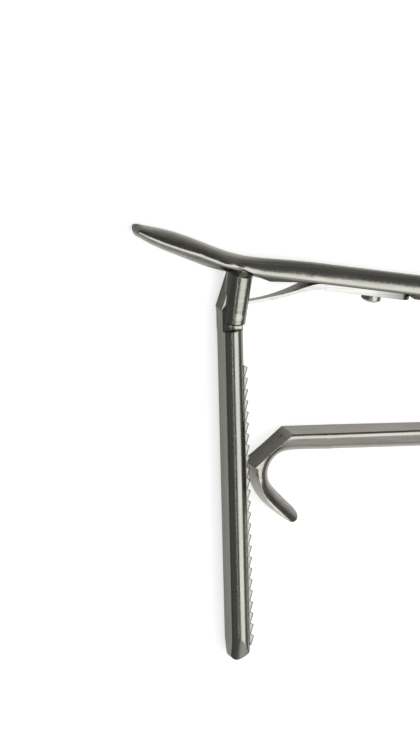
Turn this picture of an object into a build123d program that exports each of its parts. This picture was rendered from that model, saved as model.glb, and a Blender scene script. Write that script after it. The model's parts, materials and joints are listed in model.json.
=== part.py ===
"""Bone holding forceps with a swinging toothed ratchet bar, lying on its side.

Frame: X runs along the forceps from the handles (minus) to the jaws (plus), Z is up from the
table and the pivot axis is the Z axis. The origin is where the pivot axis meets the table.
The upper shank carries the lapped boss, the ratchet bar and the leaf spring, on the +Y side.
The lower shank carries the beak and the finger hook, on the -Y side. Millimetres.
"""
import os
from math import atan2, cos, degrees, hypot, radians, sin

from build123d import *

os.makedirs("parts", exist_ok=True)

# Shanks, seen along Z
DEPTH = 10.0                 # depth in Z at the joint, the boss and the beak
MID_DEPTH = 8.2              # depth in Z half way along the handles
MID_X = -96.0                # half way, where the depth is least
STRAIGHT_END = -152.0        # where the upper handle has its full depth again
INNER_OFFSET = 10.7          # inner face to centreline, drawn on to the pivot
HANDLE_SLOPE = 0.0727        # how far the inner face leaves the centreline per millimetre
UPPER_THICKNESS = 6.2        # flat inner face to crown, upper handle
LOWER_THICKNESS = 5.7        # flat inner face to crown, lower handle
SHOULDER_X = -38.0           # where the handles turn in to the joint
SHOULDER_RADIUS = 45.0
ROOT_INNER = (-6.0, 1.2)     # inner edge of the shank where it enters the joint

# Flared end of the upper handle
HANDLE_END = -206.3          # tip of the flared end
PALM_LEVEL = 15.0            # the blank is open below this level under the flared end

# Lower handle end: beak and finger hook
BEND_X = -151.8              # where the inner face turns down at 45 degrees
BEAK_RUN = 10.4              # length of that slope along X
HOOK_RADIUS = 6.2            # inside of the finger hook
HOOK_HEIGHT = 4.4            # crown of the round part of the hook
HOOK_ANGLE = -39.0           # direction of the free leg of the hook
HOOK_THROAT = (-154.4, -38.4)
HOOK_TIP = (-148.5, -45.9)
HOOK_TIP_RADIUS = 1.9
HOOK_MARGIN = 2.0            # how far the outline stands off the lofted crown
BACK_DEPTH = 2.4             # sagitta of the back of the hook
MARK_DIAMETER = 1.5          # punched dimple on the slope, beside the bend
MARK_DEPTH = 0.25
MARK_FROM_BEND = 2.6

# Lap joint and pivot screw
JOINT_RADIUS = 9.5
LAP_GAP = 0.05               # clearance of the sliding faces, each side of the middle
LAP_CLEARANCE = 0.12         # clearance round the joint disc
SCREW_DIAMETER = 5.0
SCREW_HEAD_DIAMETER = 8.6
SCREW_HEAD_HEIGHT = 1.9
SCREW_SLOT = 1.0
SCREW_SINK = 0.15            # head below the face of the joint
RUNNING_FIT = 0.05           # radial clearance where a piece turns
TIGHT_FIT = 0.01             # radial clearance where a piece is held

# Jaws
CLOSED_ANGLE = 9.5           # how far the jaws turn from rest until the tips meet
JAW_LENGTH = 57.0
JAW_START = 9.0
JAW_BOW = 5.4                # sagitta of the hollow between the jaws
JAW_THICKNESS = 7.6
JAW_TIP_THICKNESS = 4.9
JAW_TIP_DEPTH = 7.2
JAW_CROWN_SHARE = 0.4        # rounding of the outer edges, as a share of the depth at the tip
TIP_GAP = 0.25               # half the gap left between the tips when the jaws are closed
SERRATION_PITCH = 2.0
SERRATION_DEPTH = 0.8
SERRATED_FROM = 22.0         # serrations run from here to the tip

# Boss, lap and pin
BOSS_X = -172.9
BOSS_LENGTH = 14.4
BOSS_TOP_DIAMETER = 7.6
BOSS_END_DIAMETER = 6.8
BOSS_AXIS_Z = 5.6            # the boss stands a little above the middle of the handle
BOSS_EDGE = 0.7
PIN_FROM_END = 2.75          # pin axis above the end of the boss
PIN_DIAMETER = 2.5
LAP_Z = 6.6                  # underside of the cheek that stays of the boss
LAP_HEIGHT = 8.6             # cut away under the cheek, from the end of the boss
WEB_TOP_REACH = 2.5          # back of the web from the boss axis, at the handle
WEB_REACH = 4.6              # the same, beside the nose of the tang
WEB_WIDTH = 1.8              # of its lower end, along X
WEB_BOTTOM = 1.5
WEB_GAP = 0.15               # between the web and the nose as it swings past

# Ratchet bar, u down the bar from the pin, v towards the jaws
BAR_LEAN = 9.11              # degrees off the boss axis, lower end towards the jaws
BAR_CLEARANCE = 0.3          # tooth tips to the beak at rest
SHOULDER_U = 4.3             # step below the tang
BAR_LENGTH = 102.4           # pin to tip
BAR_THICKNESS = 7.3          # flat back to tooth tips
BAR_DEPTH = 7.7
BAR_TIP_DEPTH = 4.8
BAR_END = 12.0               # length over which the lower end is rounded off
TOOTH_PITCH = 3.33
TOOTH_DEPTH = 0.85
TOOTH_WIDTH = 3.0            # width in Z of the row of teeth
TOOTH_COUNT = 25
TEETH_ABOVE_BEAK = 9
TOOTH_RAKE = 0.6             # drop of the catching face from root to tip
TANG_CLEARANCE = 0.06        # tang to the cheek of the boss
TANG_RADIUS = 2.3
PIN_HEAD_DIAMETER = 4.4
PIN_HEAD_HEIGHT = 1.1
NOSE_CHAMFER = 0.6           # corner of the tang on the back of the bar

# Leaf spring
SPRING_ROOT_THICKNESS = 1.9
SPRING_TIP_THICKNESS = 0.9
SPRING_SEAT_DEPTH = 1.2      # recess in the handle
SPRING_ROOT_END = -120.2
SPRING_BEND_X = -147.0
SEAT_LEVEL_X = -151.2        # end of the level part of the recess, where its ramp begins
SEAT_START = -166.0          # end of the ramp
SEAT_CLEARANCE = 0.1
SPRING_DEPTH = 8.0
SPRING_TIP_DEPTH = 2.5
SPRING_TIP_X = -175.2
SPRING_GAP = 0.02            # between the spring and its seat, and under its screw
SPRING_SCREW_X = -131.5
SPRING_SCREW_DIAMETER = 3.0
SPRING_SCREW_LENGTH = 5.0
RIVET_HEAD_DIAMETER = 5.8
RIVET_HEAD_HEIGHT = 2.3
RIVET_SLOT = 0.8

SKIRT = 12.0                 # legs of a lofted section, past the flat face
RIDGE_BREAK = 0.25           # how far above the side ridge the palm is ground

MID = DEPTH / 2
WIDE = 4 * DEPTH             # longer than any cut through the part


def inner_y(x):
    """Inner face of a handle above the centreline."""
    return INNER_OFFSET - HANDLE_SLOPE * x


def crown_y(x, thickness):
    """Crown of a handle above the centreline."""
    return inner_y(x) + thickness


# The rest of the joint and boss geometry that several pieces share
boss_root_y = inner_y(BOSS_X)
boss_end_y = boss_root_y - BOSS_LENGTH
pin_y = boss_end_y + PIN_FROM_END
bend = (BEND_X, -inner_y(BEND_X))
beak = (BEND_X - BEAK_RUN, bend[1] - BEAK_RUN)

bar_plane = Plane(
    origin=(BOSS_X, pin_y, MID),
    x_dir=(sin(radians(BAR_LEAN)), -cos(radians(BAR_LEAN)), 0),
    z_dir=(0, 0, 1),
)
beak_local = bar_plane.to_local_coords(Vector(beak[0], beak[1], MID))
tip_v = beak_local.Y - BAR_CLEARANCE
root_v = tip_v - TOOTH_DEPTH
back_v = tip_v - BAR_THICKNESS
catch_u = beak_local.X + BAR_CLEARANCE
first_root_u = catch_u - TEETH_ABOVE_BEAK * TOOTH_PITCH
nose_sweep = hypot(TANG_RADIUS - NOSE_CHAMFER, back_v)


def jaw_plane(side):
    """Plane of a jaw outline, X along the line on which the closed jaws meet."""
    angle = radians(side * CLOSED_ANGLE / 2)
    return Plane(origin=(0, 0, MID), x_dir=(cos(angle), sin(angle), 0), z_dir=(0, 0, 1))


def jaw(side):
    """Serrated jaw. side is -1 for the upper shank and 1 for the lower shank."""
    plane = jaw_plane(side)
    mid_x = (JAW_START + JAW_LENGTH) / 2
    chord = JAW_LENGTH - JAW_START
    radius = chord ** 2 / (8 * JAW_BOW) + JAW_BOW / 2
    start_y, bow_y, tip_y = TIP_GAP + 0.6, TIP_GAP + JAW_BOW, TIP_GAP
    with BuildPart() as blank:
        with BuildSketch(plane):
            with BuildLine():
                hollow = ThreePointArc((JAW_START, side * start_y), (mid_x, side * bow_y),
                                       (JAW_LENGTH, side * tip_y))
                tip = ThreePointArc(hollow @ 1,
                                    (JAW_LENGTH + 1.9, side * (tip_y + JAW_TIP_THICKNESS / 2)),
                                    (JAW_LENGTH + 0.4, side * (tip_y + JAW_TIP_THICKNESS)))
                back = ThreePointArc(tip @ 1, (mid_x, side * (bow_y + JAW_THICKNESS)),
                                     (6.5, side * 6.9))
                Polyline(back @ 1, (2, side * 3), hollow @ 0)
            make_face()
        extrude(amount=DEPTH / 2, both=True)
        with BuildSketch(Plane(origin=plane.origin, x_dir=plane.x_dir, z_dir=plane.y_dir)):
            with BuildLine():
                Polyline((0, MID), (JAW_LENGTH + 4, JAW_TIP_DEPTH / 2),
                         (JAW_LENGTH + 4, -JAW_TIP_DEPTH / 2), (0, -MID), close=True)
            make_face()
        extrude(amount=WIDE, both=True, mode=Mode.INTERSECT)
        outer = [
            edge for edge in blank.edges()
            if edge.length > 30 and abs(plane.to_local_coords(edge @ 0.5).Y) > bow_y + 2
        ]
        fillet(outer, JAW_CROWN_SHARE * JAW_TIP_DEPTH)
        with BuildSketch(plane):
            first = degrees((SERRATED_FROM - mid_x) / radius)
            step = degrees(SERRATION_PITCH / radius)
            count = int((JAW_LENGTH - SERRATED_FROM) / SERRATION_PITCH)
            half = SERRATION_PITCH * 0.46
            for index in range(count):
                angle = radians(first + (index + 0.5) * step)
                centre = Vector(mid_x, side * (bow_y - radius))
                outward = Vector(sin(angle), side * cos(angle))
                along = Vector(cos(angle), -side * sin(angle))
                valley = centre + outward * (radius + SERRATION_DEPTH)
                left = centre + outward * (radius - 0.2) - along * half
                right = centre + outward * (radius - 0.2) + along * half
                with BuildLine():
                    Polyline(valley, left, right, close=True)
                make_face()
        extrude(amount=DEPTH, both=True, mode=Mode.SUBTRACT)
    return blank.part


def joint_cut(keep_top):
    """Half of the joint thickness, removed round the pivot so that the other half fits in."""
    low, high = (-1, MID + LAP_GAP) if keep_top else (MID - LAP_GAP, DEPTH + 1)
    with BuildPart() as cut:
        with BuildSketch(Plane.XY.offset(low)):
            Circle(JOINT_RADIUS + LAP_CLEARANCE)
        extrude(amount=high - low)
    return cut.part


def section_plane(x, y, outward):
    """Plane across a shank: local X runs along Z, local Y along the outward direction."""
    out = Vector(cos(radians(outward)), sin(radians(outward)), 0)
    return Plane(origin=(x, y, MID), x_dir=(0, 0, 1), z_dir=Vector(0, 0, 1).cross(out))


def crown_body(stations, ruled=False):
    """Rounded outer side of a shank, lofted through D sections with long straight legs.

    Each station is x, y, outward direction in degrees, half depth and height of the crown.
    """
    with BuildPart() as body:
        for x, y, outward, half, height in stations:
            control = height / 0.75
            with BuildSketch(section_plane(x, y, outward)):
                with BuildLine():
                    Bezier((-half, 0), (-half, control), (half, control), (half, 0))
                    Polyline((half, 0), (half, -SKIRT), (-half, -SKIRT), (-half, 0))
                make_face()
        loft(ruled=ruled)
    return body.part


def palm_cut(stations):
    """What is ground away under the flared end, lofted under a row of parabolas."""
    with BuildPart() as body:
        for x, y, outward, half, bulge in stations:
            reach = half + 1.2
            square = reach ** 2 / half ** 2
            lift = bulge * (square - 1) + RIDGE_BREAK * square
            with BuildSketch(section_plane(x, y, outward)):
                with BuildLine():
                    Bezier((-reach, lift), (0, -lift - 2 * bulge), (reach, lift))
                    Polyline((reach, lift), (reach, -SKIRT - 3), (-reach, -SKIRT - 3),
                             (-reach, lift))
                make_face()
        loft()
    return body.part


handle_direction = degrees(atan2(1, HANDLE_SLOPE))     # outward direction of a straight handle
root_direction = 90 - degrees(atan2(inner_y(SHOULDER_X) - ROOT_INNER[1],
                                    ROOT_INNER[0] - SHOULDER_X))


def straight_station(x, half, thickness):
    """Station on the straight stretch, where the flat face lies along the handle line."""
    return (x, inner_y(x), handle_direction, half, thickness)


def shoulder_crown(thickness):
    """Crown from the wide end of the straight stretch to the joint: straight, then curved."""
    full, neck = DEPTH / 2, MID_DEPTH / 2
    between = (handle_direction + root_direction) / 2
    shoulder_y = inner_y(SHOULDER_X)
    middle = (SHOULDER_X * 0.5 + ROOT_INNER[0] * 0.5, shoulder_y * 0.5 + ROOT_INNER[1] * 0.5)
    turn_in = straight_station(SHOULDER_X - 16, full - 0.6, thickness + 0.3)
    straight = [straight_station(STRAIGHT_END, full, thickness),
                straight_station(MID_X, neck, thickness + 0.15), turn_in]
    curved = [turn_in,
              (SHOULDER_X, shoulder_y - 0.7, between, full - 0.3, thickness + 0.7),
              (*middle, root_direction, full, thickness + 1.0),
              (*ROOT_INNER, root_direction, full, thickness + 1.4)]
    return straight, curved


# Stations of the flared end: x, y of the side ridge, outward direction, half depth,
# crown above the ridge, palm below the ridge
flare = [
    (-210, 36.2, 76, 3.0, 1.3, 1.3),
    (-204, 34.9, 76, 3.9, 1.4, 2.4),
    (-196.5, 33.1, 76, 4.6, 2.1, 3.6),
    (-187, 30.6, 75, 5.0, 2.1, 4.1),
    (-180, 28.3, 76, 5.0, 2.2, 3.7),
    (-172, 25.2, 82, 5.0, 3.6, 1.7),
]
flat_end = [straight_station(-163, DEPTH / 2, UPPER_THICKNESS - 0.4),
            straight_station(STRAIGHT_END, DEPTH / 2, UPPER_THICKNESS)]

# Upper handle, lying with its flat face towards the centreline
upper_straight, upper_shoulder = shoulder_crown(UPPER_THICKNESS)
with BuildPart() as upper_crown:
    add(crown_body([s[:5] for s in flare] + flat_end))
    add(crown_body(upper_straight, ruled=True))
    add(crown_body(upper_shoulder))
upper_palm = palm_cut([(*s[:4], s[5]) for s in flare]
                      + [(-164, inner_y(-164) - 0.4, handle_direction, DEPTH / 2, 0.0),
                         (-161, inner_y(-161) - 0.6, handle_direction, DEPTH / 2, 0.0)])
with BuildPart() as upper_handle:
    with BuildSketch(Plane.XY):
        with BuildLine():
            shoulder_in = (SHOULDER_X, inner_y(SHOULDER_X))
            inner = FilletPolyline(ROOT_INNER, shoulder_in, (-176, inner_y(-176)),
                                   radius=SHOULDER_RADIUS)
            round_low, round_top = (HANDLE_END + 1.4, 32.6), (HANDLE_END + 1.9, 36.4)
            Polyline(inner @ 1, (HANDLE_END + 16, PALM_LEVEL), (HANDLE_END + 1.4, PALM_LEVEL),
                     round_low)
            ThreePointArc(round_low, (HANDLE_END, 34.6), round_top)
            Polyline(round_top, (HANDLE_END + 2.3, 45), (-40, 30), (0, 12), (-2, 4), ROOT_INNER)
        make_face()
    extrude(amount=DEPTH)
    add(upper_crown.part, mode=Mode.INTERSECT)
    add(upper_palm, mode=Mode.SUBTRACT)

# Boss under the upper handle: its lower half is cut away for the tang of the ratchet bar
boss_plane = Plane(origin=(BOSS_X, boss_end_y, BOSS_AXIS_Z), x_dir=(1, 0, 0), z_dir=(0, 1, 0))
lap_top_y = boss_end_y + LAP_HEIGHT


def boss_cone(inset):
    """Round body of the boss, with its end rounded off, smaller all round by the inset."""
    with BuildPart() as cone:
        with BuildSketch(boss_plane.offset(inset)):
            Circle(BOSS_END_DIAMETER / 2 - inset)
        with BuildSketch(boss_plane.offset(BOSS_LENGTH + 2)):
            Circle(BOSS_TOP_DIAMETER / 2 - inset)
        loft()
        chamfer(cone.faces().sort_by(Axis.Y)[0].edges(), BOSS_EDGE * 0.7, BOSS_EDGE)
    return cone.part


with BuildPart() as boss:
    add(boss_cone(0))
    with BuildSketch(Plane.XY):
        with Locations((BOSS_X, lap_top_y - BOSS_LENGTH / 2)):
            Rectangle(WIDE, BOSS_LENGTH)
    extrude(amount=LAP_Z, mode=Mode.SUBTRACT)
    with BuildSketch(Plane.XY.offset(WEB_BOTTOM)):
        Polygon((BOSS_X - WEB_REACH, pin_y + 1.3), (BOSS_X - WEB_TOP_REACH, boss_root_y + 0.6),
                (BOSS_X, boss_root_y + 0.6), (BOSS_X, lap_top_y),
                (BOSS_X - WEB_REACH + WEB_WIDTH, lap_top_y),
                (BOSS_X - WEB_REACH + WEB_WIDTH, pin_y + 1.3), align=None)
        with Locations((BOSS_X, pin_y)):
            Circle(nose_sweep + WEB_GAP, mode=Mode.SUBTRACT)
    extrude(amount=LAP_Z - WEB_BOTTOM)
    with BuildSketch(Plane.XY):
        with Locations((BOSS_X, pin_y)):
            Circle(PIN_DIAMETER / 2 + TIGHT_FIT)
    extrude(amount=DEPTH, mode=Mode.SUBTRACT)

# Leaf spring seat under the upper handle
spring_low = SPRING_SEAT_DEPTH - SPRING_ROOT_THICKNESS
spring_screw_plane = Plane(
    origin=(SPRING_SCREW_X, inner_y(SPRING_SCREW_X) + spring_low, MID),
    x_dir=(0, 0, 1),
    z_dir=(-sin(radians(90 - handle_direction)), -sin(radians(handle_direction)), 0),
)

with BuildPart() as upper_shank:
    with BuildSketch(Plane.XY):
        Circle(JOINT_RADIUS)
    extrude(amount=DEPTH)
    chamfer(upper_shank.faces().sort_by(Axis.Z)[-1].edges(), 0.4)
    add(upper_handle.part)
    add(jaw(-1))
    add(joint_cut(keep_top=True), mode=Mode.SUBTRACT)
    add(boss.part)
    with BuildSketch(Plane.XY):
        Polygon((SPRING_ROOT_END + SEAT_CLEARANCE, inner_y(SPRING_ROOT_END) - 4),
                (SPRING_ROOT_END + SEAT_CLEARANCE, inner_y(SPRING_ROOT_END) + SPRING_SEAT_DEPTH),
                (SEAT_LEVEL_X, inner_y(SEAT_LEVEL_X) + SPRING_SEAT_DEPTH),
                (SEAT_START, inner_y(SEAT_START)),
                (SEAT_START, inner_y(SEAT_START) - 4), align=None)
    extrude(amount=DEPTH, mode=Mode.SUBTRACT)
    with BuildSketch(spring_screw_plane.offset(-SPRING_SCREW_LENGTH)):
        Circle(SPRING_SCREW_DIAMETER / 2 + TIGHT_FIT)
    extrude(amount=SPRING_SCREW_LENGTH, mode=Mode.SUBTRACT)
    with BuildSketch(Plane.XY):
        Circle(SCREW_DIAMETER / 2 + RUNNING_FIT)
    extrude(amount=DEPTH, mode=Mode.SUBTRACT)
    with BuildSketch(Plane.XY.offset(DEPTH - SCREW_SINK - SCREW_HEAD_HEIGHT - LAP_GAP)):
        Circle(SCREW_HEAD_DIAMETER / 2 + RUNNING_FIT)
    extrude(amount=DEPTH, mode=Mode.SUBTRACT)
upper_shank.part.label = "upper_shank"
export_step(upper_shank.part, "parts/upper_shank.step")

# Lower handle with the beak and the finger hook
def mirrored(stations):
    """The same stations on the other side of the centreline."""
    return [(x, -y, -outward, half, height) for x, y, outward, half, height in stations]


crown_at_zero = -crown_y(0, LOWER_THICKNESS)
leg_direction = Vector(cos(radians(HOOK_ANGLE)), sin(radians(HOOK_ANGLE)))
leg_normal = Vector(-leg_direction.Y, leg_direction.X)
crown_direction = Vector(1, HANDLE_SLOPE).normalized()
crown_normal = Vector(crown_direction.Y, -crown_direction.X)
# Centre of the hook: one hook radius from the crown line and from the free leg
crown_point = Vector(0, crown_at_zero) + crown_normal * HOOK_RADIUS
leg_point = Vector(*HOOK_THROAT) + leg_normal * HOOK_RADIUS
offset = leg_point - crown_point
travel = (offset.X * leg_direction.Y - offset.Y * leg_direction.X) / (
    crown_direction.X * leg_direction.Y - crown_direction.Y * leg_direction.X)
hook_centre = crown_point + crown_direction * travel
crown_turn = degrees(atan2(crown_normal.Y, crown_normal.X))
leg_turn = degrees(atan2(leg_normal.Y, leg_normal.X))


def hook_station(outward, half, height):
    """Station on the inside of the finger hook, by its outward direction."""
    out = Vector(cos(radians(outward)), sin(radians(outward)))
    base = hook_centre - out * (HOOK_RADIUS + height)
    return (base.X, base.Y, outward, half, height)


def leg_station(distance, half, height):
    """Station on the free leg, by its distance from the end of the hook's round part."""
    base = hook_centre - leg_normal * (HOOK_RADIUS + height) + leg_direction * distance
    return (base.X, base.Y, leg_turn, half, height)


hook_turns = [crown_turn + (leg_turn - crown_turn) * share for share in (0.25, 0.5, 0.75)]
lower_stations = (
    [leg_station(14, 3.9, 3.0), leg_station(7, 4.4, 3.6), leg_station(1, 4.8, 4.1)]
    + [hook_station(turn, DEPTH / 2 - 0.1, HOOK_HEIGHT) for turn in reversed(hook_turns)]
    + mirrored([straight_station(hook_centre.X + 0.5, DEPTH / 2, LOWER_THICKNESS),
                straight_station(hook_centre.X + 7, DEPTH / 2, LOWER_THICKNESS),
                straight_station(STRAIGHT_END + 14, DEPTH / 2, LOWER_THICKNESS)])
)
lower_straight, lower_shoulder = shoulder_crown(LOWER_THICKNESS)
lower_straight[0] = straight_station(STRAIGHT_END + 14, DEPTH / 2, LOWER_THICKNESS)
with BuildPart() as lower_crown:
    add(crown_body(lower_stations))
    add(crown_body(mirrored(lower_straight), ruled=True))
    add(crown_body(mirrored(lower_shoulder)))

nose_out = bar_plane.from_local_coords(Vector(1, 0, 0)) - bar_plane.origin
bar_out = bar_plane.from_local_coords(Vector(0, 1, 0)) - bar_plane.origin
catch = bar_out * TOOTH_DEPTH + nose_out * TOOTH_RAKE
nose = (beak[0] + catch.X, beak[1] + catch.Y)
tip_centre = Vector(*HOOK_TIP)
tip_across = leg_normal * HOOK_TIP_RADIUS

with BuildPart() as lower_handle:
    with BuildSketch(Plane.XY):
        with BuildLine():
            shoulder_in = (SHOULDER_X, -inner_y(SHOULDER_X))
            inner = FilletPolyline((ROOT_INNER[0], -ROOT_INNER[1]), shoulder_in, bend,
                                   radius=SHOULDER_RADIUS)
            Polyline(bend, beak, nose)
            back_end = tip_centre - tip_across
            SagittaArc(nose, back_end, -BACK_DEPTH)
            tip = ThreePointArc(back_end, tip_centre + leg_direction * HOOK_TIP_RADIUS,
                                tip_centre + tip_across)
            throat = hook_centre - leg_normal * (HOOK_RADIUS - HOOK_MARGIN)
            turn = ThreePointArc(throat + leg_direction,
                                 hook_centre - Vector(1, 0) * (HOOK_RADIUS - HOOK_MARGIN),
                                 hook_centre + Vector(0, 1) * (HOOK_RADIUS - HOOK_MARGIN))
            Polyline(tip @ 1, throat + leg_direction * 6, turn @ 0)
            Polyline(turn @ 1, (-140, -30), (-40, -30), (0, -12), (-2, -4),
                     (ROOT_INNER[0], -ROOT_INNER[1]))
        make_face()
    extrude(amount=DEPTH)
    add(lower_crown.part, mode=Mode.INTERSECT)
    mark_at = Vector(*bend) - Vector(1, 1) * (MARK_FROM_BEND / 2 ** 0.5)
    mark_radius = (MARK_DIAMETER / 2) ** 2 / (2 * MARK_DEPTH) + MARK_DEPTH / 2
    mark_lift = (mark_radius - MARK_DEPTH) / 2 ** 0.5
    with Locations((mark_at.X - mark_lift, mark_at.Y + mark_lift, MID)):
        Sphere(mark_radius, mode=Mode.SUBTRACT)

with BuildPart() as lower_shank:
    with BuildSketch(Plane.XY):
        Circle(JOINT_RADIUS)
    extrude(amount=DEPTH)
    add(lower_handle.part)
    add(jaw(1))
    add(joint_cut(keep_top=False), mode=Mode.SUBTRACT)
    with BuildSketch(Plane.XY):
        Circle(SCREW_DIAMETER / 2 + TIGHT_FIT)
    extrude(amount=DEPTH, mode=Mode.SUBTRACT)
lower_shank.part.label = "lower_shank"
export_step(lower_shank.part, "parts/lower_shank.step")

# Pivot screw: threaded tight in the lower shank, the upper shank turns under its head
with BuildPart() as pivot_screw:
    with BuildSketch(Plane.XY):
        Circle(SCREW_DIAMETER / 2)
    extrude(amount=DEPTH - SCREW_SINK)
    with BuildSketch(Plane.XY.offset(DEPTH - SCREW_SINK - SCREW_HEAD_HEIGHT)):
        Circle(SCREW_HEAD_DIAMETER / 2)
    extrude(amount=SCREW_HEAD_HEIGHT)
    chamfer(pivot_screw.faces().sort_by(Axis.Z)[-1].edges(), 0.3)
    with BuildSketch(Plane.XY.offset(DEPTH - SCREW_SINK)):
        Rectangle(SCREW_HEAD_DIAMETER + 1, SCREW_SLOT)
    extrude(amount=-SCREW_SLOT, mode=Mode.SUBTRACT)
pivot_screw.part.label = "pivot_screw"
export_step(pivot_screw.part, "parts/pivot_screw.step")

# Ratchet bar: D section with the flat outwards and a row of teeth along the crown
bar_side = BAR_DEPTH / 2
bar_crown = root_v - back_v
with BuildPart() as bar_body:
    for u, half in ((SHOULDER_U, bar_side), (BAR_LENGTH, bar_side * 0.9)):
        base = bar_plane.from_local_coords(Vector(u, back_v, 0))
        across = Plane(origin=base, x_dir=(0, 0, 1),
                       z_dir=Vector(0, 0, 1).cross(Vector(*bar_plane.y_dir)))
        with BuildSketch(across):
            with BuildLine():
                Bezier((-half + 0.35, 0), (-half - 0.35, bar_crown * 0.7),
                       (-half * 0.5, bar_crown * 1.25), (half * 0.5, bar_crown * 1.25),
                       (half + 0.35, bar_crown * 0.7), (half - 0.35, 0))
                Line((half - 0.35, 0), (-half + 0.35, 0))
            make_face()
    loft()
    with BuildSketch(bar_plane):
        with BuildLine():
            crown_end = (BAR_LENGTH - 5.5, tip_v + 0.5)
            back_end = (BAR_LENGTH - 1.6, back_v)
            apex = (BAR_LENGTH, back_v + 2.6)
            ThreePointArc(crown_end, (BAR_LENGTH - 1.5, root_v - 1.3), apex)
            ThreePointArc(apex, (BAR_LENGTH - 0.3, back_v + 1.0), back_end)
            Polyline(back_end, (SHOULDER_U, back_v), (SHOULDER_U, tip_v + 0.5), crown_end)
        make_face()
    extrude(amount=DEPTH, both=True, mode=Mode.INTERSECT)
    with BuildSketch(Plane(origin=bar_plane.origin, x_dir=bar_plane.x_dir,
                           z_dir=bar_plane.y_dir)):
        with BuildLine():
            start_u, far = BAR_LENGTH - BAR_END, bar_side + 0.5
            for way in (1, -1):
                Polyline((SHOULDER_U, 0), (SHOULDER_U, way * far), (start_u, way * far))
                ThreePointArc((start_u, way * far),
                              (BAR_LENGTH - BAR_END * 0.3, way * (BAR_TIP_DEPTH / 2 + 0.1)),
                              (BAR_LENGTH, way * BAR_TIP_DEPTH * 0.3))
            Line((BAR_LENGTH, BAR_TIP_DEPTH * 0.3), (BAR_LENGTH, -BAR_TIP_DEPTH * 0.3))
        make_face()
    extrude(amount=WIDE, both=True, mode=Mode.INTERSECT)

last_tooth_u = first_root_u + TOOTH_COUNT * TOOTH_PITCH
with BuildPart() as tooth_row:
    with BuildSketch(bar_plane):
        with BuildLine():
            outline = [(first_root_u, root_v - 1.5)]
            for tooth in range(TOOTH_COUNT):
                root_u = first_root_u + tooth * TOOTH_PITCH
                outline += [(root_u, root_v - 0.05), (root_u + TOOTH_RAKE, tip_v)]
            outline += [(last_tooth_u, root_v - 0.05), (last_tooth_u, root_v - 1.5)]
            Polyline(*outline, close=True)
        make_face()
    extrude(amount=TOOTH_WIDTH / 2, both=True)

tang_thickness = LAP_Z - TANG_CLEARANCE - (MID - bar_side)
with BuildPart() as ratchet_bar:
    add(bar_body.part)
    add(tooth_row.part)
    # Tang under the cheek of the boss, with the nose on which the spring bears
    with BuildSketch(bar_plane.offset(-bar_side)):
        with BuildLine():
            Polyline((SHOULDER_U + 0.5, back_v), (SHOULDER_U + 0.5, root_v - 0.4), (0, TANG_RADIUS))
            cap = ThreePointArc((0, TANG_RADIUS), (-TANG_RADIUS * 0.75, TANG_RADIUS * 0.7),
                                (-TANG_RADIUS, 0))
            Polyline(cap @ 1, (-TANG_RADIUS - 0.1, back_v + NOSE_CHAMFER),
                     (-TANG_RADIUS + NOSE_CHAMFER, back_v),
                     (SHOULDER_U + 0.5, back_v))
        make_face()
    extrude(amount=tang_thickness)
    with BuildSketch(Plane.XY):
        with Locations((BOSS_X, pin_y)):
            Circle(PIN_DIAMETER / 2 + RUNNING_FIT)
    extrude(amount=DEPTH, mode=Mode.SUBTRACT)
    with BuildSketch(Plane.XY):
        with Locations((BOSS_X, pin_y)):
            Circle(PIN_HEAD_DIAMETER / 2 + RUNNING_FIT)
    extrude(amount=MID - bar_side + PIN_HEAD_HEIGHT + RUNNING_FIT, mode=Mode.SUBTRACT)
ratchet_bar.part.label = "ratchet_bar"
export_step(ratchet_bar.part, "parts/ratchet_bar.step")

# Headed pin, riveted into the cheek of the boss and ground flush with it
with BuildPart() as ratchet_pin:
    with BuildSketch(Plane.XY):
        with Locations((BOSS_X, pin_y)):
            Circle(PIN_DIAMETER / 2)
    extrude(amount=DEPTH)
    add(boss_cone(TIGHT_FIT), mode=Mode.INTERSECT)
    with BuildSketch(Plane.XY.offset(MID - bar_side)):
        with Locations((BOSS_X, pin_y)):
            Circle(PIN_DIAMETER / 2)
    extrude(amount=LAP_Z - (MID - bar_side))
    with BuildSketch(Plane.XY.offset(MID - bar_side)):
        with Locations((BOSS_X, pin_y)):
            Circle(PIN_HEAD_DIAMETER / 2)
    extrude(amount=PIN_HEAD_HEIGHT)
ratchet_pin.part.label = "ratchet_pin"
export_step(ratchet_pin.part, "parts/ratchet_pin.step")

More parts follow.
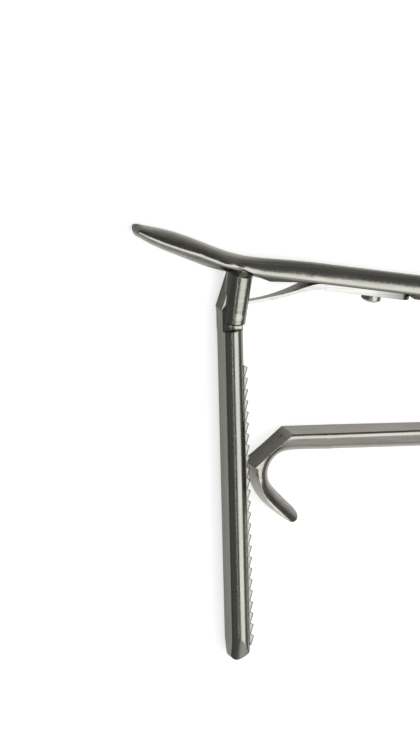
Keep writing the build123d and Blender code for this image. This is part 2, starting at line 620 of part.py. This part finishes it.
# Leaf spring: thick and wide at its root, thin and narrow where it enters the lap
with BuildPart() as leaf_spring:
    with BuildSketch(Plane.XY):
        with BuildLine():
            top = SPRING_SEAT_DEPTH - SPRING_GAP
            root_top = (SPRING_ROOT_END, inner_y(SPRING_ROOT_END) + top)
            root_low = (SPRING_ROOT_END, inner_y(SPRING_ROOT_END) + spring_low)
            bend_top = (SPRING_BEND_X, inner_y(SPRING_BEND_X) + top)
            bend_low = (SPRING_BEND_X, inner_y(SPRING_BEND_X) + spring_low)
            tip_low = (SPRING_TIP_X, pin_y + TANG_RADIUS + 0.25)
            tip_top = (SPRING_TIP_X, tip_low[1] + SPRING_TIP_THICKNESS)
            Line(root_top, bend_top)
            run = SPRING_TIP_X - SPRING_BEND_X
            top_drop, low_drop = tip_top[1] - bend_top[1], tip_low[1] - bend_low[1]
            Spline(bend_top, (SPRING_BEND_X + run * 0.29, bend_top[1] + top_drop * 0.31),
                   (SPRING_BEND_X + run * 0.53, bend_top[1] + top_drop * 0.64), tip_top,
                   tangents=[(-1, HANDLE_SLOPE), (-1, -0.12)])
            Line(tip_top, tip_low)
            Spline(tip_low, (SPRING_BEND_X + run * 0.53, bend_low[1] + low_drop * 0.6),
                   (SPRING_BEND_X + run * 0.28, bend_low[1] + low_drop * 0.23), bend_low,
                   tangents=[(1, 0.12), (1, -HANDLE_SLOPE)])
            Line(bend_low, root_low)
            Line(root_low, root_top)
        make_face()
    extrude(amount=DEPTH)
    with BuildSketch(Plane.XZ):
        with BuildLine():
            wide, narrow = SPRING_DEPTH / 2, SPRING_TIP_DEPTH / 2
            Line((SPRING_TIP_X - 1, MID + narrow), (SPRING_TIP_X + 12, MID + narrow))
            Line((SPRING_TIP_X + 12, MID + narrow), (SPRING_BEND_X, MID + wide))
            Line((SPRING_BEND_X, MID + wide), (SPRING_ROOT_END - 4, MID + wide))
            ThreePointArc((SPRING_ROOT_END - 4, MID + wide), (SPRING_ROOT_END, MID),
                          (SPRING_ROOT_END - 4, MID - wide))
            Line((SPRING_ROOT_END - 4, MID - wide), (SPRING_BEND_X, MID - wide))
            Line((SPRING_BEND_X, MID - wide), (SPRING_TIP_X + 12, MID - narrow))
            Line((SPRING_TIP_X + 12, MID - narrow), (SPRING_TIP_X - 1, MID - narrow))
            Line((SPRING_TIP_X - 1, MID - narrow), (SPRING_TIP_X - 1, MID + narrow))
        make_face()
    extrude(amount=WIDE, both=True, mode=Mode.INTERSECT)
    with BuildSketch(spring_screw_plane.offset(-SPRING_SCREW_LENGTH)):
        Circle(SPRING_SCREW_DIAMETER / 2 + TIGHT_FIT)
    extrude(amount=SPRING_SCREW_LENGTH + 1, mode=Mode.SUBTRACT)
leaf_spring.part.label = "leaf_spring"
export_step(leaf_spring.part, "parts/leaf_spring.step")

# Round-headed screw that holds the spring
with BuildPart() as spring_screw:
    with BuildSketch(spring_screw_plane):
        Circle(RIVET_HEAD_DIAMETER / 2)
    extrude(amount=RIVET_HEAD_HEIGHT)
    chamfer(spring_screw.faces().sort_by(Axis.Y)[0].edges(), RIVET_HEAD_HEIGHT * 0.3,
            RIVET_HEAD_HEIGHT * 0.5)
    with BuildSketch(spring_screw_plane.offset(RIVET_HEAD_HEIGHT)):
        Rectangle(RIVET_SLOT, RIVET_HEAD_DIAMETER)
    extrude(amount=-RIVET_SLOT, mode=Mode.SUBTRACT)
    with BuildSketch(spring_screw_plane):
        Circle(SPRING_SCREW_DIAMETER / 2)
    extrude(amount=-SPRING_SCREW_LENGTH + 0.1)
spring_screw.part.label = "spring_screw"
export_step(spring_screw.part, "parts/spring_screw.step")
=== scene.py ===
"""Bone holding forceps on a white table, seen from above with the handle ends in the picture."""
import json
import math

import bmesh
import bpy
from mathutils import Matrix, Vector


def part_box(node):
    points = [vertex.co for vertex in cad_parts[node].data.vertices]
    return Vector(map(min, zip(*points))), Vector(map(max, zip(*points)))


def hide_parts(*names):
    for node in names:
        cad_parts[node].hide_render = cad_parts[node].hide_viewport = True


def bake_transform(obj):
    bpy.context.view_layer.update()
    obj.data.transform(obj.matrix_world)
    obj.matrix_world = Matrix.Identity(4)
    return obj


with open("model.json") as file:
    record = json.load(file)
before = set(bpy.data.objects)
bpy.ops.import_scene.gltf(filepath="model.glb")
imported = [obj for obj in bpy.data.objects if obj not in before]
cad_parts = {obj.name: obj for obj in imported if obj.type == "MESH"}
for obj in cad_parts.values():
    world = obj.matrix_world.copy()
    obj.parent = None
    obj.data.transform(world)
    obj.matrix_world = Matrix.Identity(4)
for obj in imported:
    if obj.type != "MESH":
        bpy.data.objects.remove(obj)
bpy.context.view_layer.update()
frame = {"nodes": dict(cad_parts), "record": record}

MM = 0.001
NODES = frame["nodes"]
JOINTS = {joint["name"]: joint for joint in frame["record"]["behaviour"]["joints"]}

# Ratchet bar
BAR_PIN = Vector(JOINTS["rack_swing"]["pos_m"])
BAR_LEAN = math.radians(9.11)        # the ratchet bar leans this much off the Y axis
BAR_FRONT = Vector((math.cos(BAR_LEAN), math.sin(BAR_LEAN), 0))
BAR_BACK = 3.96 * MM                 # flat face of the bar, behind its pin

# Handles
HANDLE_LEAN = math.atan(0.0727)
HANDLE_FLAT = 10.672 * MM            # flat face of a handle, along its own outward direction
UPPER_OUT = Vector((math.sin(HANDLE_LEAN), math.cos(HANDLE_LEAN), 0))
LOWER_OUT = Vector((math.sin(HANDLE_LEAN), -math.cos(HANDLE_LEAN), 0))

# Finger hook: an arc about its centre, then a straight leg
HOOK_CENTRE = Vector((-150.52, -33.56, 0)) * MM
HOOK_LEG_ANGLE = math.radians(-39)
HOOK_LEG = Vector((math.cos(HOOK_LEG_ANGLE), math.sin(HOOK_LEG_ANGLE), 0))

# Camera: directions in the shared frame, and the part of the object that fills the picture
TO_CAMERA = Vector((-0.362, 0.2125, 0.908))
PICTURE_RIGHT = Vector((0.9312, 0.1259, 0.342))
PICTURE_UP = Vector((-0.0417, 0.9692, -0.2432))
PICTURE_CENTRE = Vector((-178.35, -5.43, 4.72)) * MM
PICTURE_HEIGHT = 210.9 * MM
CAMERA_DISTANCE = 5.0
SENSOR_HEIGHT = 36.0


def node(tree, kind, **inputs):
    """A shader node with its input sockets set by name."""
    made = tree.nodes.new(kind)
    for name, value in inputs.items():
        made.inputs[name.replace("_", " ")].default_value = value
    return made


def fill(tree, slot, value):
    """Feeds an input from another socket, or sets it to a constant."""
    if isinstance(value, bpy.types.NodeSocket):
        tree.links.new(value, slot)
    else:
        slot.default_value = value


def arithmetic(tree, operation, *values):
    """Result of a sum on sockets and constants."""
    made = tree.nodes.new("ShaderNodeMath")
    made.operation = operation
    for slot, value in zip(made.inputs, values):
        fill(tree, slot, value)
    return made.outputs["Value"]


def vector_math(tree, operation, *values, socket="Vector"):
    """Result of vector arithmetic on sockets and constants."""
    made = tree.nodes.new("ShaderNodeVectorMath")
    made.operation = operation
    slots = [made.inputs[0], made.inputs["Scale"] if operation == "SCALE" else made.inputs[1]]
    for slot, value in zip(slots, values):
        fill(tree, slot, value)
    return made.outputs[socket]


def reach(tree, place, direction):
    """How far a place lies along a direction."""
    return vector_math(tree, "DOT_PRODUCT", place, direction, socket="Value")


def ramp(tree, value, low, high, at=(0.35, 0.65)):
    """Runs from low to high while a value crosses a band; the usual band is that of a noise."""
    made = node(tree, "ShaderNodeMapRange", From_Min=at[0], From_Max=at[1],
                To_Min=low, To_Max=high)
    tree.links.new(value, made.inputs["Value"])
    return made.outputs["Result"]


def stretched_noise(tree, coordinates, scale, detail, roughness):
    """Noise drawn out along the direction of brushing."""
    mapping = node(tree, "ShaderNodeMapping", Scale=scale)
    tree.links.new(coordinates, mapping.inputs["Vector"])
    noise = node(tree, "ShaderNodeTexNoise", Scale=1.0, Detail=detail, Roughness=roughness)
    tree.links.new(mapping.outputs["Vector"], noise.inputs["Vector"])
    return noise.outputs["Fac"]


def leant(tree, normal, direction, amount):
    """Normals leant by an amount towards a direction in the forceps' own axes."""
    way = tree.nodes.new("ShaderNodeVectorTransform")
    way.vector_type = "VECTOR"
    way.convert_from, way.convert_to = "OBJECT", "WORLD"
    fill(tree, way.inputs["Vector"], direction)
    push = vector_math(tree, "SCALE", way.outputs["Vector"], amount)
    return vector_math(tree, "NORMALIZE", vector_math(tree, "ADD", normal, push))


# Rolls: the direction away from a flat face, where along it the face lies, and how wide and
# how strong the lean beside the face is
BAR_ROLL = (BAR_FRONT, BAR_PIN.dot(BAR_FRONT) - BAR_BACK, 4.6 * MM, 1.0)
UPPER_ROLL = (UPPER_OUT, HANDLE_FLAT, 2.3 * MM, 0.8)
LOWER_ROLL = (LOWER_OUT, HANDLE_FLAT, 1.5 * MM, 0.9)
ROLL_START = (-0.1 * MM, -0.05 * MM)     # places this far behind the flat face keep their normals


def rolled(tree, place, normal, roll):
    """Normals leant over beside a flat face, so that the sides next to it shade as a round rod."""
    away, flat_at, width, strength = roll
    along = reach(tree, place, away)
    lean = ramp(tree, along, strength, 0, (flat_at, flat_at + width))
    inside = ramp(tree, along, 0, 1, (flat_at + ROLL_START[0], flat_at + ROLL_START[1]))
    return leant(tree, normal, -away, arithmetic(tree, "MULTIPLY", lean, inside))


HOOK_STRENGTH = 0.55
HOOK_BAND = (9.6 * MM, 10.4 * MM)        # the lean fades out between here and the back of the hook
HOOK_NEAR = (11.0 * MM, 11.2 * MM)       # nothing further out than this belongs to the hook
HOOK_SIDE_WAY = Vector((1, 0.4, 0))      # the lean ends on the side of the leg
HOOK_SIDE = (-163.0 * MM, -161.0 * MM)
HOOK_BELOW = (-41.0 * MM, -36.0 * MM)    # and above the arc, along Y


def hook_rounded(tree, place, normal):
    """Normals round the finger hook, leant towards its inside, where it is rounded off."""
    level = vector_math(tree, "MULTIPLY", place, Vector((1, 1, 0)))
    from_centre = vector_math(tree, "SUBTRACT", level, HOOK_CENTRE)
    down_leg = arithmetic(tree, "MAXIMUM", reach(tree, from_centre, HOOK_LEG), 0)
    leg = vector_math(tree, "SCALE", HOOK_LEG, down_leg)
    inward = vector_math(tree, "SUBTRACT", leg, from_centre)
    distance = vector_math(tree, "LENGTH", inward, socket="Value")
    amount = ramp(tree, distance, HOOK_STRENGTH, 0, HOOK_BAND)
    for limit in (ramp(tree, distance, 1, 0, HOOK_NEAR),
                  ramp(tree, reach(tree, level, HOOK_SIDE_WAY), 1, 0, HOOK_SIDE),
                  ramp(tree, reach(tree, level, Vector((0, 1, 0))), 1, 0, HOOK_BELOW)):
        amount = arithmetic(tree, "MULTIPLY", amount, limit)
    return leant(tree, normal, vector_math(tree, "NORMALIZE", inward), amount)


RIDGE_MIDDLE = Vector((0, 0, 5)) * MM    # half way up the depth of the forceps
RIDGE_BAND = (3.4 * MM, 4.7 * MM)        # the lean grows from here to the ridge, each way along Z
RIDGE_TAPER = 1.5 * MM                   # the ridges close in by this much at the tip,
RIDGE_TAPER_X = (-210 * MM, -187 * MM)   # between these places along X
RIDGE_END_X = (-179 * MM, -173 * MM)     # the lean fades out here, towards the boss
RIDGE_START_Y = (23.0 * MM, 23.8 * MM)   # and below here, where the boss begins
RIDGE_UP = Vector((0, 0, 0.5))
RIDGE_OUT = Vector((0.3, 1.6, 0))


def ridge_rounded(tree, place, normal):
    """Normals beside the side ridges of the flared end, turned outwards as if rubbed round."""
    split = tree.nodes.new("ShaderNodeSeparateXYZ")
    tree.links.new(vector_math(tree, "SUBTRACT", place, RIDGE_MIDDLE), split.inputs["Vector"])
    x, y, z = (split.outputs[axis] for axis in "XYZ")
    level = arithmetic(tree, "ADD", arithmetic(tree, "ABSOLUTE", z),
                       ramp(tree, x, RIDGE_TAPER, 0, RIDGE_TAPER_X))
    amount = ramp(tree, level, 0, 1, RIDGE_BAND)
    for limit in (ramp(tree, x, 1, 0, RIDGE_END_X), ramp(tree, y, 0, 1, RIDGE_START_Y)):
        amount = arithmetic(tree, "MULTIPLY", amount, limit)
    up = vector_math(tree, "SCALE", RIDGE_UP, arithmetic(tree, "SIGN", z))
    return leant(tree, normal, vector_math(tree, "ADD", up, RIDGE_OUT), amount)


EDGE_TINT = (0.60, 0.59, 0.57, 1)        # reflection at a glancing angle
ROUGH = 0.25
GRAIN = 0.004 * MM                       # depth of the brush marks
FINE_MARKS = (60, 5200, 5200)
COARSE_MARKS = (25, 1300, 1300)
CLOUDS = (90, 90, 90)
WORN_TONE = 0.86                         # darkest coarse marks, as a share of the tone


def steel(name, tone, edge, turn=0.0, roughness=ROUGH, roll=None, rounded=None, painted_light=None):
    """Satin steel, brushed along X turned by an angle about Z, with softly broken edges.

    The painted light is a direction and bands along it, of painted highlight or painted shade
    in the colour, each with its two ends and the share of the tone at either end.
    """
    material = bpy.data.materials.new(name)
    material.use_nodes = True
    tree = material.node_tree
    shader = tree.nodes["Principled BSDF"]
    shader.inputs["Metallic"].default_value = 1.0
    shader.inputs["Specular Tint"].default_value = EDGE_TINT
    place = tree.nodes.new("ShaderNodeTexCoord").outputs["Object"]
    rotate = node(tree, "ShaderNodeVectorRotate", Angle=turn)
    rotate.rotation_type = "Z_AXIS"
    tree.links.new(place, rotate.inputs["Vector"])
    along = rotate.outputs["Vector"]
    fine = stretched_noise(tree, along, FINE_MARKS, 3, 0.6)
    coarse = stretched_noise(tree, along, COARSE_MARKS, 2, 0.5)
    cloud = stretched_noise(tree, place, CLOUDS, 3, 0.6)

    mix = tree.nodes.new("ShaderNodeMix")
    mix.data_type = "RGBA"
    mix.inputs["A"].default_value = (*[channel * WORN_TONE for channel in tone], 1)
    mix.inputs["B"].default_value = (*tone, 1)
    tree.links.new(ramp(tree, coarse, 0, 1), mix.inputs["Factor"])
    colour = mix.outputs["Result"]
    # Painted highlight and painted shade: the colour is scaled band by band
    if painted_light:
        direction, *bands = painted_light
        for start, end, first, last in bands:
            share = ramp(tree, reach(tree, place, direction), first, last, (start, end))
            colour = vector_math(tree, "SCALE", colour, share)
    tree.links.new(colour, shader.inputs["Base Color"])

    sheen = arithmetic(tree, "ADD", ramp(tree, fine, roughness * 0.8, roughness * 1.15),
                       ramp(tree, cloud, -0.03, 0.03))
    tree.links.new(sheen, shader.inputs["Roughness"])

    soft_edge = node(tree, "ShaderNodeBevel", Radius=edge)
    soft_edge.samples = 6
    normal = soft_edge.outputs["Normal"]
    if roll:
        normal = rolled(tree, place, normal, roll)
    if rounded:
        normal = rounded(tree, place, normal)
    bump = node(tree, "ShaderNodeBump", Strength=0.35, Distance=GRAIN)
    tree.links.new(fine, bump.inputs["Height"])
    tree.links.new(normal, bump.inputs["Normal"])
    tree.links.new(bump.outputs["Normal"], shader.inputs["Normal"])
    return material


SHANK_TONE = (0.41, 0.403, 0.36)
BAR_TONE = (0.395, 0.397, 0.355)
SPRING_TONE = (0.55, 0.545, 0.52)
SCREW_TONE = (0.45, 0.44, 0.41)
# Painted highlight along the inner edge of the upper handle, where it catches the light, and
# painted shade at its foot, in the spring's shade
UPPER_PAINTED_LIGHT = (UPPER_OUT, (HANDLE_FLAT + 0.02 * MM, HANDLE_FLAT + 0.1 * MM, 2.4, 1.0),
               (HANDLE_FLAT + 1.7 * MM, HANDLE_FLAT + 2.1 * MM, 0.35, 1.0))
# Painted shade: the root of the spring darkens towards its end
SPRING_PAINTED_SHADE = (Vector((1, 0, 0)), (-134 * MM, -121 * MM, 1.0, 0.25))

screw_steel = steel("screw_steel", SCREW_TONE, 0.2 * MM, turn=math.pi / 2, roughness=0.28)
STEEL = {
    "upper_shank": steel("upper_steel", SHANK_TONE, 0.35 * MM, roll=UPPER_ROLL,
                         rounded=ridge_rounded, painted_light=UPPER_PAINTED_LIGHT),
    "lower_shank": steel("lower_steel", SHANK_TONE, 0.35 * MM, roll=LOWER_ROLL,
                         rounded=hook_rounded),
    "pivot_screw": screw_steel,
    "ratchet_bar": steel("bar_steel", BAR_TONE, 0.8 * MM, turn=math.pi / 2 - BAR_LEAN,
                         roll=BAR_ROLL),
    "ratchet_pin": steel("flush_steel", SHANK_TONE, 0),
    "leaf_spring": steel("spring_steel", SPRING_TONE, 0.15 * MM, roughness=0.26,
                         painted_light=SPRING_PAINTED_SHADE),
    "spring_screw": screw_steel,
}
for name, material in STEEL.items():
    materials = NODES[name].data.materials
    materials.clear()
    materials.append(material)


SPRING_CUTS = 36


def bending_spring():
    """The leaf spring, copied and cut into short lengths across X, in place of the hidden CAD
    piece.
    """
    source = NODES["leaf_spring"]
    blade = bpy.data.objects.new("leaf_spring_blade", source.data.copy())
    bpy.context.scene.collection.objects.link(blade)
    low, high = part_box("leaf_spring")
    mesh = bmesh.new()
    mesh.from_mesh(blade.data)
    for index in range(1, SPRING_CUTS):
        across = Vector((low.x + (high.x - low.x) * index / SPRING_CUTS, 0, 0))
        everything = mesh.verts[:] + mesh.edges[:] + mesh.faces[:]
        bmesh.ops.bisect_plane(mesh, geom=everything, plane_co=across, plane_no=(1, 0, 0))
    mesh.to_mesh(blade.data)
    mesh.free()
    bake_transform(blade)
    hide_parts("leaf_spring")


bending_spring()

TABLE_SIZE = 6.0
TABLE_DROP = 0.2 * MM                    # table top below the forceps
TABLE_WHITE = (0.9, 0.9, 0.9, 1)
# Painted shade in reflections: a dark table wherever they don't see the glow
TABLE_PAINTED_SHADE = (0.3, 0.3, 0.3, 1)
TABLE_GLOW = 0.65
# Painted reflection: reflections see more of the glow than the camera does, brightest from one
# side
TABLE_IN_STEEL = 1.38                    # share of that glow in reflections
TABLE_FACES = Vector((-0.8, 0.6, 1.3))   # reflections see the table brightest from here,
TABLE_BAND = (0.435, 1.435)              # from none to all of it


def table_material():
    """White table that keeps its shadows, white to the camera, with painted light and painted
    shade in reflections.
    """
    material = bpy.data.materials.new("table_white")
    material.use_nodes = True
    tree = material.node_tree
    tree.nodes.clear()
    path = tree.nodes.new("ShaderNodeLightPath")
    mirrored = path.outputs["Is Glossy Ray"]
    coming = tree.nodes.new("ShaderNodeNewGeometry").outputs["Incoming"]
    facing = ramp(tree, reach(tree, coming, TABLE_FACES), 0, 1, TABLE_BAND)
    in_steel = arithmetic(tree, "MULTIPLY", mirrored, facing)
    seen = arithmetic(tree, "MULTIPLY_ADD", in_steel, TABLE_IN_STEEL,
                      path.outputs["Is Camera Ray"])
    glow = node(tree, "ShaderNodeEmission", Color=(1, 1, 1, 1))
    tree.links.new(arithmetic(tree, "MULTIPLY", seen, TABLE_GLOW), glow.inputs["Strength"])
    white = node(tree, "ShaderNodeBsdfDiffuse", Color=TABLE_WHITE)
    both = tree.nodes.new("ShaderNodeAddShader")
    tree.links.new(white.outputs["BSDF"], both.inputs[0])
    tree.links.new(glow.outputs["Emission"], both.inputs[1])
    # Painted shade: what a reflection doesn't see of the table's glow is a dark table
    dark = node(tree, "ShaderNodeBsdfDiffuse", Color=TABLE_PAINTED_SHADE)
    choose = tree.nodes.new("ShaderNodeMixShader")
    tree.links.new(arithmetic(tree, "SUBTRACT", mirrored, in_steel), choose.inputs["Fac"])
    tree.links.new(both.outputs["Shader"], choose.inputs[1])
    tree.links.new(dark.outputs["BSDF"], choose.inputs[2])
    output = tree.nodes.new("ShaderNodeOutputMaterial")
    tree.links.new(choose.outputs["Shader"], output.inputs["Surface"])
    return material


bpy.ops.mesh.primitive_plane_add(size=TABLE_SIZE, location=(0, 0, -TABLE_DROP))
floor = bpy.context.object
floor.name = "table"
floor.data.materials.append(table_material())


def softbox(name, direction, distance, size, power, length=None):
    """Soft light that faces the middle of the handles, square or with its length along the bar."""
    lamp = bpy.data.lights.new(name, "AREA")
    lamp.size = size
    lamp.energy = power
    holder = bpy.data.objects.new(name, lamp)
    bpy.context.scene.collection.objects.link(holder)
    aim = Vector(direction).normalized()
    holder.location = PICTURE_CENTRE + aim * distance
    if length:
        lamp.shape = "RECTANGLE"
        lamp.size_y = length
        side = Vector((0, 1, 0)).cross(aim).normalized()
        facing = Matrix((side, aim.cross(side), aim)).transposed()
        holder.rotation_euler = facing.to_euler()
    else:
        lamp.shape = "SQUARE"
        holder.rotation_euler = aim.to_track_quat("Z", "Y").to_euler()


softbox("top_softbox", (0.41, 0.04, 0.91), 1.0, 1.1, 7.0)
softbox("left_strip", (-0.47, -0.21, 0.86), 1.0, 0.05, 0.19, length=0.45)
softbox("front_fill", (0.2, -0.80, 0.50), 1.1, 1.1, 2.2)

ROOM_LOW, ROOM_HIGH = 0.13, 0.12         # strength of the room's light near the table and overhead
ROOM_BAND = (0.15, 0.9)                  # heights of direction between which it changes


def studio():
    """Dim white room, white wherever the camera looks past the table."""
    world = bpy.data.worlds.new("studio")
    bpy.context.scene.world = world
    world.use_nodes = True
    tree = world.node_tree
    room = tree.nodes["Background"]
    room.inputs["Color"].default_value = (1, 1, 1, 1)
    direction = tree.nodes.new("ShaderNodeTexCoord").outputs["Generated"]
    split = tree.nodes.new("ShaderNodeSeparateXYZ")
    tree.links.new(direction, split.inputs["Vector"])
    light = ramp(tree, split.outputs["Z"], ROOM_LOW, ROOM_HIGH, ROOM_BAND)
    path = tree.nodes.new("ShaderNodeLightPath")
    tree.links.new(arithmetic(tree, "MAXIMUM", light, path.outputs["Is Camera Ray"]),
                   room.inputs["Strength"])


studio()

lens = bpy.data.cameras.new("camera")
lens.sensor_fit = "VERTICAL"
lens.sensor_height = SENSOR_HEIGHT
lens.lens = SENSOR_HEIGHT * CAMERA_DISTANCE / PICTURE_HEIGHT
lens.clip_start = 0.05
camera = bpy.data.objects.new("camera", lens)
bpy.context.scene.collection.objects.link(camera)
turn = Matrix((PICTURE_RIGHT, PICTURE_UP, TO_CAMERA)).transposed().to_4x4()
camera.matrix_world = Matrix.Translation(PICTURE_CENTRE + TO_CAMERA * CAMERA_DISTANCE) @ turn
bpy.context.scene.camera = camera

bpy.context.scene.view_settings.view_transform = "Standard"
